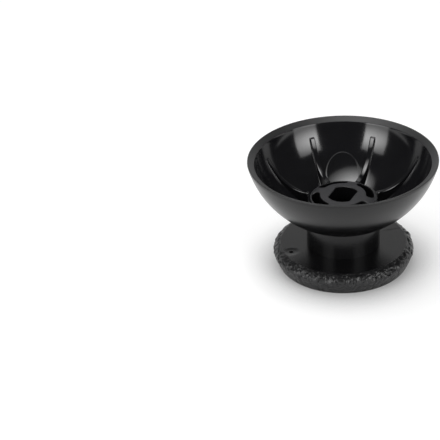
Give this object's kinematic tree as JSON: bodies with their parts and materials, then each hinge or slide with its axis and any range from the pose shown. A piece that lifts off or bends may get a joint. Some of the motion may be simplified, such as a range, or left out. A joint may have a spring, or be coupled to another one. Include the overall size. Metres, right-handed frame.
{
  "type": "thumbstick cap",
  "caption": "Moulded cap for a controller's thumbstick: a ribbed bowl-shaped skirt with a flatted stem bore, a short neck and a dished thumb disc with a rough grip edge.",
  "frame": {"origin": "on the table, on the cap's axis: the centre of the bottom of its box", "axes": "+Z along the cap's axis, up through the mouth of the bowl; +X to the right in the picture and +Y away from its camera"},
  "size_m": [0.024, 0.024, 0.0149],
  "materials": {
    "black_abs": "polished inside the bowl, satin outside, rough on the edge of the disc"
  },
  "bodies": {
    "root": {"thumbstick_cap": "black_abs"}
  },
  "joints": []
}
